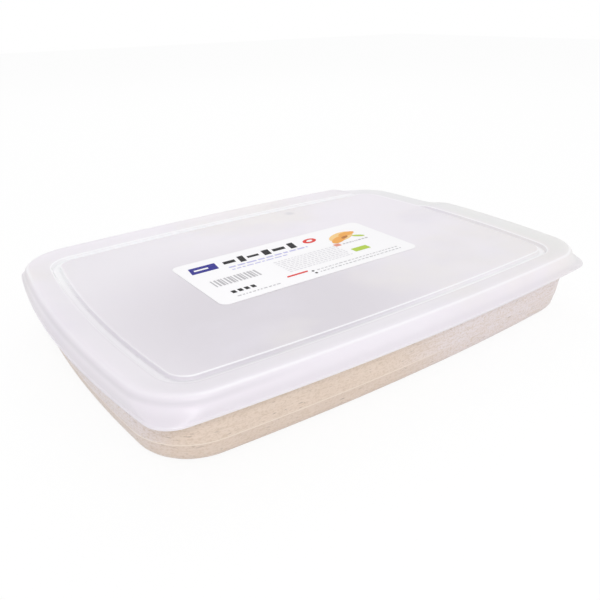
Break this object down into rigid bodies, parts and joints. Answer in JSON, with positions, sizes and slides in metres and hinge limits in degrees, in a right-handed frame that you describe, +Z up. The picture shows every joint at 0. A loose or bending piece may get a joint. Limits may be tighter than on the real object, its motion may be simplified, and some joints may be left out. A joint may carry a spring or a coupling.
{
  "type": "airtight food container",
  "caption": "Flat airtight food container: a shallow beige tray with bowed sides, closed by a frosted press-on lid that carries a label.",
  "frame": {"origin": "on the surface that the container stands on, under the middle of the tray", "axes": "+X along the long side, +Y away from the near long side, +Z up; the lift corner is at +X +Y"},
  "size_m": [0.298, 0.2148, 0.039],
  "materials": {
    "tray_plastic": "smooth beige polypropylene, faintly streaked",
    "lid_plastic": "frosted translucent polyethylene",
    "label_film": "printed film"
  },
  "bodies": {
    "tray": {"tray": "tray_plastic"},
    "lid": {"lid": "lid_plastic", "label": "label_film"}
  },
  "joints": [
    {"name": "lid_lift", "type": "slide", "parent": "tray", "child": "lid", "axis": [0, 0, 1], "range_m": [0, 0.06]}
  ]
}
